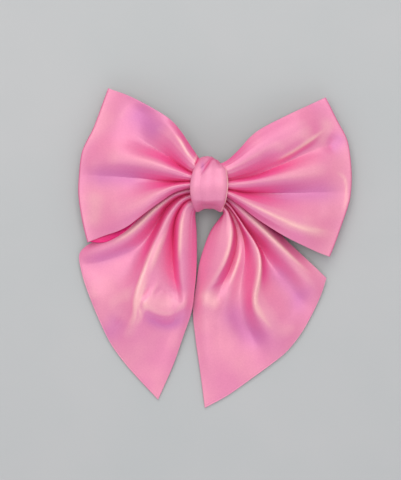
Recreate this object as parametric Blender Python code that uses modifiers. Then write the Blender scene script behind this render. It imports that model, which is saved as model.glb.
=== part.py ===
"""Large hair bow with tails, pinched by a wrapped knot and carried on a sprung alligator clip.

The bow lies on its back. X runs across the loops, Y from the tails to the loops, and Z out of
the bow's face. The origin is on the clip lever's flat outer face, straight under the knot.
"""

import math

import bmesh
import bpy
import numpy as np
from mathutils import Matrix, Vector

MM = 0.001

# Fabric, in millimetres. The loops and tails are two plies sewn and turned, pressed to one wall.
WALL = 1.2
PINCH_FILL = 4.2  # how thick a wall gets where its pleats are packed together under the knot
LOOP_PINCH = {"y": 3.2, "z": 21.9, "half_y": 7.2, "half_z": 4.45}
TAIL_PINCH = {"y": -6.0, "z": 13.6, "half_y": 6.5, "half_z": 2.1}
HALF_SPLIT = 0.2  # each half of a band stops this far from the centre line, inside its thread
WRAP_PLY = 2.0
THREAD_R = 0.2
THREAD_CLEAR = 0.25
GROOVE = 1.6  # half the width of the groove that the threads leave in the glue

# Where the fabric leaves the knot and where its edges run, as (x, y) in plan.
LOOPS = {
    "loop_left": {
        "top": [(-7.2, 10.6), (-12.5, 20), (-17.8, 28.3), (-24.5, 36), (-33.3, 43.3), (-56.6, 53.8)],
        "bottom": [(-9, -3.4), (-22.2, -6.7), (-33.3, -12.2), (-47.2, -22.8), (-68.3, -30.5)],
        "bulge": 9.2,
        "side": -1,
    },
    "loop_right": {
        "top": [(7.5, 10.8), (16.7, 20), (25, 29.4), (33.3, 35.5), (64.4, 49.4)],
        "bottom": [(9, -3.9), (27.8, -16.1), (44.4, -27.2), (66.6, -38.9)],
        "bulge": 12.5,
        "side": 1,
    },
}
TAILS = {
    "tail_left": {
        "top": [(-9, -3.2), (-25, -9), (-47, -20), (-71.5, -37)],
        "bottom": [(-6.6, -12.6), (-9, -19), (-9.3, -35), (-9.8, -55), (-15.5, -85), (-29.4, -118.8)],
        "bulge": 9.5,
        "side": -1,
    },
    "tail_right": {
        "top": [(9, -5.6), (27.8, -21.6), (50, -38.3), (64.9, -51.1)],
        "bottom": [(7.6, -11.6), (9, -15.5), (4.6, -23), (-6, -50), (-6.4, -75), (-3.9, -124.3)],
        "bulge": 14.0,
        "side": 1,
    },
}
# Heights along a band, from the centre line (0) to its crease or cut end (1).
STATIONS = [0, 0.06, 0.13, 0.25, 0.4, 0.56, 0.72, 0.85, 0.94, 1.0]
LOOP_MID = [(0, 21.9), (0.13, 21.9), (0.3, 19.5), (0.55, 15.5), (0.8, 11.5), (1, 8.5)]
LOOP_FRONT = [(0, 2.35), (0.13, 2.35), (0.3, 3.6), (0.6, 5.5), (1, 5.0)]
LOOP_BACK = [(0, 2.35), (0.13, 2.35), (0.3, 2.6), (0.6, 3.4), (1, 3.4)]
TAIL_MID = [(0, 13.6), (0.1, 13.6), (0.25, 9.0), (0.5, 5.0), (0.75, 2.4), (1, 0.65)]
TAIL_CROWN = [(0, 0), (0.13, 0.2), (0.4, 2.6), (0.7, 2.2), (1, 0)]
CREASE_POWER = 4.0
ACROSS = 10  # cells from a band's lower edge to its upper edge

# Knot wrap: its middle line round the pinch, as (y, z), and half its width there.
WRAP_PATH = [
    (3, 28.4, 10.3), (10, 27.4, 8.6), (14.4, 22.4, 6.0), (13.8, 15.0, 6.0), (9.2, 8.8, 7.0),
    (4, 6.5, 7.5), (-4, 6.5, 7.5), (-9.8, 8.0, 7.0), (-14.2, 11.8, 5.9), (-14.9, 17.0, 6.6),
    (-11.8, 23.6, 8.8), (-4.5, 27.6, 10.3),
]
WRAP_ACROSS = 6
WRAP_CROWN = 0.7  # how far the strip's middle stands above its edges

# Clip, in millimetres.
STEEL = 0.7
CLIP_TIP_X = -32.0
CLIP_END_X = 31.0
CLIP_HALF_W = 4.0
HANDLE_HALF_W = 4.7
PLATE_Z = 8.6  # underside of the top jaw
PIN_X, PIN_Z, PIN_R = 17.0, 5.2, 0.9
PIN_HEAD_R, PIN_HEAD = 1.5, 0.5
EAR = 0.6
OUTER_EAR_Y = 3.4  # inner face of the top jaw's ears
INNER_EAR_Y = 2.6  # inner face of the lever's ears
LEVER_FLAT_X = -6.0  # the lever is flat from here to its thumb tab
LEVER_RISE = 6.75
TOOTH_PITCH, TOOTH_DEPTH, TEETH = 2.4, 1.3, 7
FLANGE_Y = 3.35
RIBBON = 0.4
RIBBON_HALF_W = 4.6
RIBBON_END_X = 11.0
GRIP = 0.9
SPRING_R, SPRING_WIRE, SPRING_TURNS, SPRING_PITCH = 1.65, 0.3, 4, 0.78

COLOURS = {
    "pearl_fabric": ((0.90, 0.36, 0.58), 0.38, 0.0),
    "thread": ((0.86, 0.42, 0.60), 0.7, 0.0),
    "hot_glue": ((0.86, 0.82, 0.72), 0.35, 0.0),
    "clip_steel": ((0.74, 0.74, 0.76), 0.28, 1.0),
    "spring_steel": ((0.56, 0.56, 0.58), 0.35, 1.0),
    "ribbon": ((0.91, 0.55, 0.70), 0.6, 0.0),
    "grip_rubber": ((0.88, 0.86, 0.84), 0.55, 0.0),
}


def clear_scene():
    for obj in list(bpy.data.objects):
        bpy.data.objects.remove(obj, do_unlink=True)


def new_collection(name):
    found = bpy.data.collections.new(name)
    bpy.context.scene.collection.children.link(found)
    return found


def material(name):
    colour, roughness, metallic = COLOURS[name]
    made = bpy.data.materials.get(name) or bpy.data.materials.new(name)
    made.use_nodes = True
    shader = made.node_tree.nodes["Principled BSDF"]
    shader.inputs["Base Color"].default_value = (*colour, 1)
    shader.inputs["Roughness"].default_value = roughness
    shader.inputs["Metallic"].default_value = metallic
    return made


def link(obj, finish, parent=None):
    """Puts obj in the bow's collection with its material, smooth except at real edges."""
    parts.objects.link(obj)
    obj.data.materials.clear()
    obj.data.materials.append(material(finish))
    if obj.type == "MESH":
        obj.data.shade_smooth()
        obj.data.set_sharp_from_angle(angle=math.radians(35))
    if parent:
        obj.parent = parent
        obj.matrix_parent_inverse = Matrix.Translation(-parent.location)
    return obj


def smooth_path(points, count, closed=False):
    """count points on a Catmull-Rom curve through points, evenly spaced along it."""
    p = np.array(points, float)
    ends = (p[-1:], p[:2]) if closed else (2 * p[:1] - p[1:2], 2 * p[-1:] - p[-2:-1])
    p = np.concatenate([ends[0], p, ends[1]])
    t = np.linspace(0, 1, 25)[:-1, None]
    spans = []
    for a, b, c, d in zip(p, p[1:], p[2:], p[3:]):
        spans.append(
            0.5 * (2 * b + (c - a) * t + (2 * a - 5 * b + 4 * c - d) * t**2
                   + (3 * b - a - 3 * c + d) * t**3)
        )
    fine = np.concatenate([*spans, p[-2][None]])
    length = np.concatenate([[0], np.linalg.norm(np.diff(fine, axis=0), axis=1).cumsum()])
    wanted = np.linspace(0, length[-1], count, endpoint=not closed)
    return np.stack([np.interp(wanted, length, column) for column in fine.T], axis=1)


def height(curve, s):
    """The height at s, read smoothly from a short list of (s, height)."""
    x, y = zip(*curve)
    near = [np.interp(np.clip(s + d, 0, 1), x, y) for d in (-0.05, -0.025, 0, 0.025, 0.05)]
    return np.interp(s, x, y) if s in (0, 1) else float(np.mean(near))


def grid_mesh(name, grid, wrap_rows=False):
    """A mesh of quads over grid, an array of rows of (x, y, z) in millimetres."""
    rows, cols = grid.shape[:2]
    faces = []
    for i in range(rows if wrap_rows else rows - 1):
        for j in range(cols - 1):
            k = (i + 1) % rows
            faces.append((i * cols + j, i * cols + j + 1, k * cols + j + 1, k * cols + j))
    mesh = bpy.data.meshes.new(name)
    mesh.from_pydata((grid.reshape(-1, 3) * MM).tolist(), [], faces)
    return mesh


def sheet(name, grid, thickness, finish, wrap_rows=False, parent=None):
    """A solid of the given thickness, one number or one for each grid point, round a surface."""
    obj = bpy.data.objects.new(name, grid_mesh(name, grid, wrap_rows))
    thick = np.broadcast_to(thickness, grid.shape[:2]).ravel()
    group = obj.vertex_groups.new(name="thickness")
    for index, value in enumerate(thick / thick.max()):
        group.add([index], float(value), "REPLACE")
    solid = obj.modifiers.new("wall", "SOLIDIFY")
    solid.thickness = float(thick.max()) * MM
    solid.offset = 0
    solid.vertex_group = group.name
    return link(obj, finish, parent)


def fan(band, pinch, s_values):
    """Plan points of a gathered band: rows of (x, y) from the centre line to its outer end."""
    start = [
        (band["side"] * HALF_SPLIT, pinch["y"] + sign * pinch["half_y"]) for sign in (1, -1)
    ]
    edges = [
        smooth_path([start[k], *band[edge]], 101) for k, edge in enumerate(("top", "bottom"))
    ]
    t = np.linspace(0, 1, ACROSS + 1)
    out = edges[0][-1] - edges[1][-1]
    away = np.array([out[1], -out[0]]) * band["side"] / np.linalg.norm(out)
    rows = []
    for s in s_values:
        top, low = (np.array([np.interp(s * 100, range(101), c) for c in e.T]) for e in edges)
        bow_out = 4 * band["bulge"] * t * (1 - t) * s**2
        rows.append(low + np.outer(t, top - low) + np.outer(bow_out, away))
    return np.array(rows)


def fill(s_values):
    """Wall thickness: packed pleats with a rounded section at the pinch, plain wall further out."""
    across = np.sqrt(np.clip(1 - np.linspace(-0.97, 0.97, ACROSS + 1) ** 2, 0, 1))
    packed = np.clip(1 - (np.array(s_values) - 0.1) / 0.25, 0, 1)[:, None]
    return WALL + (PINCH_FILL * across[None] - WALL) * packed


def make_loop(name):
    """One half of the loop band: its back wall, the crease at its outer end and its front wall."""
    band = LOOPS[name]
    plan = fan(band, LOOP_PINCH, STATIONS)
    walls = []
    for side, gap in ((-1, LOOP_BACK), (1, LOOP_FRONT)):
        closing = [(1 - s**CREASE_POWER) ** (1 / CREASE_POWER) for s in STATIONS]
        z = [height(LOOP_MID, s) + side * height(gap, s) * c for s, c in zip(STATIONS, closing)]
        level = np.repeat(np.array(z)[:, None, None], ACROSS + 1, axis=1)
        walls.append(np.concatenate([plan, level], axis=2))
    grid = np.concatenate([walls[0], walls[1][-2::-1]])
    thick = fill(STATIONS)
    if band["side"] < 0:
        grid = grid[:, ::-1]
    return sheet(name, grid, np.concatenate([thick, thick[-2::-1]]), "pearl_fabric")


def make_tail(name):
    """One half of the tail strip, from the pinch to its slanting cut end."""
    band = TAILS[name]
    plan = fan(band, TAIL_PINCH, STATIONS)
    t = np.linspace(0, 1, ACROSS + 1)
    crown = np.outer([height(TAIL_CROWN, s) for s in STATIONS], 4 * t * (1 - t))
    level = np.array([height(TAIL_MID, s) for s in STATIONS])[:, None] + crown
    grid = np.concatenate([plan, level[..., None]], axis=2)
    if band["side"] < 0:
        grid = grid[:, ::-1]
    return sheet(name, grid, fill(STATIONS), "pearl_fabric")


def make_knot_wrap():
    """The centre strip, a closed band round the pinch and the clip's top jaw."""
    path = smooth_path(WRAP_PATH, 30, closed=True)
    across = np.linspace(-1, 1, WRAP_ACROSS + 1)
    centre = path[:, :2].mean(axis=0)
    rows = []
    for y, z, half in path:
        out = np.array([y, z]) - centre
        out /= np.linalg.norm(out)
        crown = WRAP_CROWN * (1 - across**2) * max(out[1], 0)
        rows.append(np.stack([across * half, y + out[0] * crown, z + out[1] * crown], axis=1))
    return sheet("knot_wrap", np.array(rows), WRAP_PLY, "pearl_fabric", wrap_rows=True)


def make_tube(name, points, radius, finish, parent=None):
    """A round thread or wire along points, in millimetres."""
    curve = bpy.data.curves.new(name, "CURVE")
    curve.dimensions = "3D"
    curve.bevel_depth = radius * MM
    curve.bevel_resolution = 2
    curve.use_fill_caps = True
    spline = curve.splines.new("POLY")
    spline.points.add(len(points) - 1)
    for point, co in zip(spline.points, points):
        point.co = (*(np.array(co) * MM), 1)
    return link(bpy.data.objects.new(name, curve), finish, parent)


def squared(wave):
    """Pushes a sine or cosine out towards a rounded rectangle."""
    return np.sign(wave) * np.abs(wave) ** 0.5


def make_thread(name, pinch, turns):
    """Binding thread: a few flat turns round a pinch."""
    reach = THREAD_R + THREAD_CLEAR
    angle = np.linspace(0, turns * 2 * math.pi, turns * 20 + 1)
    x = (angle / (2 * math.pi) - turns / 2) * THREAD_R * 2.6
    y = pinch["y"] + (pinch["half_y"] + reach) * squared(np.cos(angle))
    z = pinch["z"] + (pinch["half_z"] + reach) * squared(np.sin(angle))
    return make_tube(name, np.stack([x, y, z], axis=1), THREAD_R, "thread")


def make_glue(name, centre, size, web):
    """A pressed pad of hot glue with rounded edges. Beside a thread it is left only web high."""
    bpy.ops.mesh.primitive_cube_add(size=1)
    obj = bpy.context.object
    obj.name = obj.data.name = name
    obj.data.transform(Matrix.Diagonal([*(Vector(size) * MM), 1]))
    obj.location = Vector(centre) * MM
    for old in list(obj.users_collection):
        old.objects.unlink(obj)
    link(obj, "hot_glue")
    bevel = obj.modifiers.new("pressed edge", "BEVEL")
    bevel.width = 0.4 * size[2] * MM
    bevel.segments = 2
    if web is None:
        return obj
    low, high = centre[2] - size[2], centre[2] + size[2]
    for index, (start, end) in enumerate(((low, web[0]), (web[1], high))):
        box = plate_in_xz(
            f"{name}_groove_{index}",
            [(-GROOVE, start), (GROOVE, start), (GROOVE, end), (-GROOVE, end)],
            centre[1] - size[1],
            centre[1] + size[1],
        )
        helper(obj, box, "DIFFERENCE")
    return obj


def blade(name, stations, finish, parent=None):
    """A stamped steel strip along X, from rows of (x, middle height, half width)."""
    y = np.array([-1, -0.5, 0, 0.5, 1])
    grid = np.array([[(x, k * half, z) for k in y] for x, z, half in stations])
    return sheet(name, grid[:, ::-1], STEEL, finish, parent=parent)


def rounded_end(x_end, x_full, half_end, half_full, count=4):
    """(x, half width) stations that round off a strip from full width to its end."""
    found = []
    for k in range(count + 1):
        angle = math.pi / 2 * k / count
        x = x_full + (x_end - x_full) * math.sin(angle)
        found.append((x, half_end + (half_full - half_end) * math.cos(angle)))
    return found


def plate_in_xz(name, outline, y_low, y_high, holes=()):
    """A flat plate standing along X and Z, from an outline in millimetres, as a helper mesh."""
    curve = bpy.data.curves.new(name, "CURVE")
    curve.dimensions = "2D"
    curve.fill_mode = "BOTH"
    curve.extrude = (y_high - y_low) / 2 * MM
    for loop in [outline, *holes]:
        spline = curve.splines.new("POLY")
        spline.use_cyclic_u = True
        spline.points.add(len(loop) - 1)
        for point, (x, z) in zip(spline.points, loop):
            point.co = (x * MM, z * MM, 0, 1)
    flat = bpy.data.objects.new(name, curve)
    parts.objects.link(flat)
    flat.rotation_euler.x = math.pi / 2
    flat.location.y = (y_low + y_high) / 2 * MM
    bpy.context.view_layer.update()
    graph = bpy.context.evaluated_depsgraph_get()
    mesh = bpy.data.meshes.new_from_object(flat.evaluated_get(graph))
    mesh.transform(flat.matrix_world)
    bpy.data.objects.remove(flat, do_unlink=True)
    work = bmesh.new()
    work.from_mesh(mesh)
    bmesh.ops.remove_doubles(work, verts=work.verts, dist=1e-6)
    bmesh.ops.recalc_face_normals(work, faces=work.faces)
    work.to_mesh(mesh)
    work.free()
    return bpy.data.objects.new(name, mesh)


def circle(x, z, radius, count=24):
    return [
        (x + radius * math.cos(2 * math.pi * k / count), z + radius * math.sin(2 * math.pi * k / count))
        for k in range(count)
    ]


def helper(target, shape, operation):
    """Joins a helper mesh to target, or cuts it away, and keeps the helper out of the render."""
    cutters.objects.link(shape)
    shape.hide_render = True
    shape.display_type = "WIRE"
    change = target.modifiers.new(shape.name, "BOOLEAN")
    change.operation = operation
    change.object = shape


def ear_pair(name, inner_y, tip_z, root_z, hole_r):
    """Two rounded ears round the hinge pin, mirrored across the clip."""
    reach = abs(tip_z - PIN_Z)
    up = 1 if tip_z > PIN_Z else -1
    arc = [
        (PIN_X + reach * math.cos(a), PIN_Z + up * reach * math.sin(a))
        for a in np.linspace(0, math.pi, 13)
    ]
    outline = [(PIN_X + reach, root_z), *arc, (PIN_X - reach, root_z)]
    hole = circle(PIN_X, PIN_Z, hole_r)
    return [
        plate_in_xz(f"{name}_near", outline, -inner_y - EAR, -inner_y, [hole]),
        plate_in_xz(f"{name}_far", outline, inner_y, inner_y + EAR, [hole]),
    ]


def make_clip_top_jaw():
    """The fixed jaw: a flat strip that the bow is glued to, with two ears folded down."""
    tip = rounded_end(CLIP_TIP_X, CLIP_TIP_X + 4, 1.4, CLIP_HALF_W)[::-1]
    thumb = rounded_end(CLIP_END_X, CLIP_END_X - 4.5, 1.8, HANDLE_HALF_W)
    outline = [*tip, (-12, CLIP_HALF_W), (10, CLIP_HALF_W), (21.5, CLIP_HALF_W), *thumb]
    middle = PLATE_Z + STEEL / 2
    jaw = blade("clip_top_jaw", [(x, middle, half) for x, half in outline], "clip_steel")
    for ear in ear_pair("outer_ear", OUTER_EAR_Y, PIN_Z - 2.2, middle, PIN_R + 0.12):
        helper(jaw, ear, "UNION")
    return jaw


def lever_height(x):
    """Middle height of the lever's floor: flat to LEVER_FLAT_X, then rising to the tip."""
    run = max(0.0, LEVER_FLAT_X - x) / (LEVER_FLAT_X - CLIP_TIP_X)
    return STEEL / 2 + LEVER_RISE * run**1.2


def tooth_line(x_from, x_to):
    """The toothed upper edge of a jaw flange, from x_from to x_to."""
    top = PLATE_Z - RIBBON - 0.45
    points = [(x_from, top - TOOTH_DEPTH)]
    for k in range(TEETH):
        x = x_from - k * TOOTH_PITCH
        points += [(x - TOOTH_PITCH / 2, top), (x - TOOTH_PITCH, top - TOOTH_DEPTH)]
    return points[:-1] + [(x_to, top - 0.2)]


def make_clip_lever(hinge):
    """The moving jaw: an arched strip with toothed flanges, two ears and a thumb tab."""
    jaw_x = [-29.5, -26, -22, -18, -14, -11, -8.5]
    tip = rounded_end(CLIP_TIP_X + 0.4, jaw_x[0], 1.4, CLIP_HALF_W, 3)[:0:-1]
    thumb = rounded_end(CLIP_END_X, CLIP_END_X - 4.5, 1.8, HANDLE_HALF_W)
    flat = [(x, CLIP_HALF_W) for x in (LEVER_FLAT_X, 4, 12, 21.5)]
    outline = [*tip, *((x, CLIP_HALF_W) for x in jaw_x), *flat, *thumb]
    lever = blade("clip_lever", [(x, lever_height(x), h) for x, h in outline], "clip_steel", hinge)
    rear_x = -13.0
    front_x = rear_x - TEETH * TOOTH_PITCH
    root = [(x, lever_height(x)) for x in (front_x, -24, -19, -15, rear_x + 1)]
    flange = [*root, *tooth_line(rear_x, front_x)]
    sides = [
        plate_in_xz("flange_near", flange, -FLANGE_Y - EAR, -FLANGE_Y),
        plate_in_xz("flange_far", flange, FLANGE_Y, FLANGE_Y + EAR),
    ]
    ears = ear_pair("inner_ear", INNER_EAR_Y, PIN_Z + 2.2, STEEL / 2, PIN_R + 0.12)
    for shape in sides + ears:
        helper(lever, shape, "UNION")
    return lever


def make_clip_pin():
    """The hinge pin, a turned rivet with a head past each outer ear."""
    reach = OUTER_EAR_Y + EAR + 0.12
    ends = reach + PIN_HEAD
    profile = [(0, ends), (PIN_HEAD_R * 0.7, ends), (PIN_HEAD_R, ends - PIN_HEAD / 2),
               (PIN_HEAD_R, reach), (PIN_R, reach)]
    profile += [(r, -z) for r, z in reversed(profile)]
    mesh = bpy.data.meshes.new("clip_pin")
    mesh.from_pydata(
        [(r * MM, 0, z * MM) for r, z in profile], [(k, k + 1) for k in range(len(profile) - 1)], []
    )
    obj = link(bpy.data.objects.new("clip_pin", mesh), "clip_steel")
    turn = obj.modifiers.new("turned", "SCREW")
    turn.steps = turn.render_steps = 24
    turn.use_merge_vertices = True
    turn.merge_threshold = 0.00001
    obj.location = (PIN_X * MM, 0, PIN_Z * MM)
    obj.rotation_euler.x = math.pi / 2
    return obj


def make_clip_spring():
    """A torsion spring round the pin, with one leg on each handle."""
    angle = np.linspace(math.pi / 2, math.pi / 2 - SPRING_TURNS * 2 * math.pi - math.pi, 90)
    turned = (angle[0] - angle) / (2 * math.pi)
    y = (turned - turned[-1] / 2) * SPRING_PITCH
    coil = np.stack([PIN_X + SPRING_R * np.cos(angle), y, PIN_Z + SPRING_R * np.sin(angle)], axis=1)
    rest = SPRING_WIRE + 0.1
    upper = (27, y[0], PLATE_Z - rest)
    lower = (27, y[-1], STEEL + rest)
    return make_tube("clip_spring", [upper, *coil, lower], SPRING_WIRE, "spring_steel")


def make_clip_ribbon():
    """Ribbon lining, folded over the top jaw's tip and glued along both of its faces."""
    low, high = PLATE_Z - 0.1, PLATE_Z + STEEL + 0.1
    centre, half = (low + high) / 2, (high - low) / 2
    fold = np.linspace(math.pi / 2, 3 * math.pi / 2, 9)
    tip = CLIP_TIP_X - 0.1
    outside = [(tip + (half + RIBBON) * math.cos(a), centre + (half + RIBBON) * math.sin(a)) for a in fold]
    inside = [(tip + half * math.cos(a), centre + half * math.sin(a)) for a in fold[::-1]]
    outline = [(RIBBON_END_X, high + RIBBON), *outside, (RIBBON_END_X, low - RIBBON),
               (RIBBON_END_X, low), *inside, (RIBBON_END_X, high)]
    return link(plate_in_xz("clip_ribbon", outline, -RIBBON_HALF_W, RIBBON_HALF_W), "ribbon")


def make_clip_grip():
    """The non-slip strip inside the top jaw, with ribs across it."""
    top = PLATE_Z - 0.1 - RIBBON - 0.1
    outline = [(-11.5, top), (-28.5, top)]
    ribs = 8
    for k in range(ribs):
        x = -28.5 + 17.0 * k / ribs
        outline += [(x, top - GRIP * 0.6), (x + 0.5, top - GRIP), (x + 1.4, top - GRIP)]
        outline += [(x + 1.9, top - GRIP * 0.6)]
    outline.append((-11.5, top - GRIP * 0.6))
    return link(plate_in_xz("clip_grip_pad", outline, -2.6, 2.6), "grip_rubber")


clear_scene()
parts = new_collection("hair_bow")
cutters = new_collection("hair_bow_helpers")
hinge = bpy.data.objects.new("clip_hinge", None)
parts.objects.link(hinge)
hinge.location = (PIN_X * MM, 0, PIN_Z * MM)
for loop_name in LOOPS:
    make_loop(loop_name)
for tail_name in TAILS:
    make_tail(tail_name)
make_knot_wrap()
make_thread("loop_binding_thread", LOOP_PINCH, 4)
make_thread("tail_binding_thread", TAIL_PINCH, 3)
make_glue("glue_loops_to_tails", (0, -1.4, 16.5), (10, 3.4, 2.2), (16.35, 16.8))
make_glue("glue_bow_to_clip", (0, -4.2, 10.65), (12, 4.6, 1.4), (9, 10.7))
make_glue("glue_wrap_to_clip", (0, 0, 7.82), (11, 6, 0.3), None)
make_clip_top_jaw()
make_clip_lever(hinge)
make_clip_pin()
make_clip_spring()
make_clip_ribbon()
make_clip_grip()
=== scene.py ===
import math
import bpy
import numpy as np
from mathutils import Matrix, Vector


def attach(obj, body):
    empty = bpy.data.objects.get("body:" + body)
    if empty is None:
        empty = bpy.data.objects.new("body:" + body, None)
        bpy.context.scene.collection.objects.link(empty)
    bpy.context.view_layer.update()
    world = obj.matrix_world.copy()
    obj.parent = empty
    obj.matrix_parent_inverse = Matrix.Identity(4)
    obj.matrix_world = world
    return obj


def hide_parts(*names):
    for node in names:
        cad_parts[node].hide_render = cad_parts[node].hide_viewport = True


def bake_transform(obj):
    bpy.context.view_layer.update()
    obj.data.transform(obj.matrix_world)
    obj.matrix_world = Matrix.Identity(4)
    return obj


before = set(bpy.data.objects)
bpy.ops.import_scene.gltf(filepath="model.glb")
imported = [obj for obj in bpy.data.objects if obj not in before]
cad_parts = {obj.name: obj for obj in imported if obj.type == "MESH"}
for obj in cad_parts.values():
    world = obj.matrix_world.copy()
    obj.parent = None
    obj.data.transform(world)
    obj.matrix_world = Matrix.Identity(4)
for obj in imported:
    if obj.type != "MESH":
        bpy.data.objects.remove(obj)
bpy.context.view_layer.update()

mm = 0.001
print("hair bow: frame loaded,", len(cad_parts), "nodes")


# Lengths are in millimetres until a mesh is made.

def lengthAlong(line):
    # Length from the start of a line to each of its points, in its first two coordinates
    return np.concatenate([[0], np.linalg.norm(np.diff(line[:, :2], axis=0), axis=1).cumsum()])


def smoothPath(points, count, crowd=1.0):
    # Catmull-Rom: each span is the cubic whose end slopes follow the neighbouring points.
    # It is read at count places, evenly by length, or crowded towards the start.
    p = np.array(points, float)
    p = np.concatenate([2 * p[:1] - p[1:2], p, 2 * p[-1:] - p[-2:-1]])
    t = np.linspace(0, 1, 20)[:-1, None]  # 19 steps to a span
    spans = [0.5 * (2 * b + (c - a) * t + (2 * a - 5 * b + 4 * c - d) * t**2
                    + (3 * b - a - 3 * c + d) * t**3)
             for a, b, c, d in zip(p, p[1:], p[2:], p[3:])]
    fine = np.concatenate([*spans, p[-2][None]])
    length = lengthAlong(fine)
    wanted = np.linspace(0, 1, count) ** crowd * length[-1]
    return np.stack([np.interp(wanted, length, column) for column in fine.T], axis=1)


def readCurve(curve, at):
    # A smooth line through a few (place, value) pairs: Hermite cubics with flat ends
    x, y = np.array(curve, float).T
    span = np.clip(np.searchsorted(x, at) - 1, 0, len(x) - 2)
    slope = np.gradient(y, x)
    slope[0] = slope[-1] = 0
    h = x[span + 1] - x[span]
    u = np.clip((at - x[span]) / h, 0, 1)
    return (y[span] * (1 + 2 * u) * (1 - u) ** 2 + y[span + 1] * u**2 * (3 - 2 * u)
            + h * slope[span] * u * (1 - u) ** 2 + h * slope[span + 1] * u**2 * (u - 1))


def offLine(line, plan):
    # For each plan point: how far along the line its nearest place is (0 to 1), its distance
    # off the line (positive on the left of the line's way), and the unit vector to its left
    a, b = line[:-1], line[1:]
    run = b - a
    size = np.linalg.norm(run, axis=1)
    at = plan.reshape(-1, 1, 2)
    u = np.clip(((at - a) * run).sum(axis=2) / size**2, 0, 1)
    gap = at - (a + u[..., None] * run)
    dist = np.linalg.norm(gap, axis=2)
    best = dist.argmin(axis=1)
    rows = np.arange(len(best))
    start = np.concatenate([[0], size.cumsum()[:-1]])
    along = (start[best] + u[rows, best] * size[best]) / size.sum()
    left = np.column_stack([-run[best, 1], run[best, 0]]) / size[best, None]
    near = gap[rows, best]
    side = np.where((near * left).sum(axis=1) >= 0, 1.0, -1.0)
    shape = plan.shape[:-1]
    return along.reshape(shape), (dist[rows, best] * side).reshape(shape), left.reshape(plan.shape)


def gridNormals(grid):
    # Cross product of the two directions along the grid
    across = np.gradient(grid, axis=1)
    along = np.gradient(grid, axis=0)
    n = np.cross(along, across)
    return n / np.maximum(np.linalg.norm(n, axis=2, keepdims=True), 1e-9)


def gridLength(grid, axis):
    # Length along the cloth to each grid point, summed from the first row or column
    step = np.linalg.norm(np.diff(grid, axis=axis), axis=2).cumsum(axis=axis)
    return np.concatenate([np.zeros_like(step.take([0], axis=axis)), step], axis=axis)


def borderDistance(grid, ring):
    # Distance of each grid point from the nearest free border, measured along the cloth
    across = gridLength(grid, 1)
    near = np.minimum(across, across[:, -1:] - across)
    if not ring:
        along = gridLength(grid, 0)
        near = np.minimum(near, np.minimum(along, along[-1:] - along))
    return near


def put(name, data):
    # A new object in the scene
    obj = bpy.data.objects.new(name, data)
    bpy.context.scene.collection.objects.link(obj)
    return obj


def meshFrom(name, points, faces, uv=None, fields=None):
    # Points in mm and faces to a smooth mesh in m, with a value of each field at each point
    mesh = bpy.data.meshes.new(name)
    mesh.from_pydata((points * mm).tolist(), [], faces)
    if uv is not None:
        layer = mesh.uv_layers.new(name="cloth")
        corners = np.empty(len(mesh.loops), np.int32)
        mesh.loops.foreach_get("vertex_index", corners)
        layer.data.foreach_set("uv", uv[corners].astype(np.float32).ravel())
    for key, values in (fields or {}).items():
        made = mesh.attributes.new(key, "FLOAT", "POINT")
        made.data.foreach_set("value", values.astype(np.float32).ravel())
    mesh.shade_smooth()
    return put(name, mesh)


def closedSheet(name, grid, wall, fold, crease, paintedShadeAndHighlight, ring=False, steep=1.0, inside=None):
    # Cloth of thickness wall round a grid: the two faces are the grid moved half the wall each
    # way along its normals. Towards a free border the wall closes like a rounded hem.
    # ring: the last row joins the first. inside: the fold value all over the first face,
    # which the material paints as shade
    rows, cols = grid.shape[:2]
    if ring:
        normals = gridNormals(np.concatenate([grid[-2:], grid, grid[:2]]))[2:-2]
    else:
        normals = gridNormals(grid)
    hem = np.clip(borderDistance(grid, ring) / (wall * 0.7), 0, 1)  # 0 at the very border
    half = (wall / 2 * (0.12 + 0.88 * np.sqrt(1 - (1 - hem) ** 2)))[..., None]
    points = np.concatenate([(grid + normals * half).reshape(-1, 3),
                             (grid - normals * half).reshape(-1, 3)])
    index = np.arange(rows * cols).reshape(rows, cols)
    if ring:
        index = np.concatenate([index, index[:1]])
    face = np.stack([index[:-1, :-1], index[1:, :-1], index[1:, 1:], index[:-1, 1:]], axis=2)
    face = face.reshape(-1, 4)
    n = rows * cols  # points on one face
    rims = [index[:, 0], index[::-1, -1]]
    if not ring:
        rims += [index[0, ::-1], index[-1]]
    sides = [np.stack([rim[:-1], rim[:-1] + n, rim[1:] + n, rim[1:]], axis=1) for rim in rims]
    quads = np.concatenate([face, face[:, ::-1] + n, *[side[:, ::-1] for side in sides]])
    # the cloth's own map: cm across and cm along
    u = gridLength(grid, 1)
    u = u - u[:, -1:] / 2
    v = np.repeat(gridLength(grid, 0).mean(axis=1)[:, None], cols, axis=1)
    uv = np.concatenate([np.stack([u, v], axis=2).reshape(-1, 2) / 10] * 2)
    # tilt: how steeply the cloth leans, 0 where it lies flat; the material paints shade on steep
    # cloth
    tilt = (1 - np.abs(normals[..., 2])) * steep
    # lean: how far it leans away from +Y, where the material paints lilac shade
    lean = -normals[..., 1] * np.sign(normals[..., 2]) * steep
    # these fields drive the material's painted shade and painted highlights
    kept = {"fold": fold, "crease": crease, "tilt": tilt, "lean": lean, "paintedShadeAndHighlight": paintedShadeAndHighlight}
    fields = {key: np.tile((tilt * 0 + value).ravel(), 2) for key, value in kept.items()}
    if inside is not None:
        fields["fold"][:n] = inside
    return meshFrom(name, points, quads.tolist(), uv, fields)


# heights of the middle of the cloth, as (mm from the centre of the knot, mm above the table)
loopFace = [(0, 23.5), (12, 22.6), (25, 19.6), (45, 15.6), (62, 12.2), (80, 9.4)]
loopBack = [(0, 18.5), (12, 17.6), (25, 14.8), (45, 11), (62, 8), (80, 6)]
tailFace = [(0, 15.2), (12, 14.8), (25, 12), (45, 8.2), (70, 5), (100, 2.6), (130, 1.1)]

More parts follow.
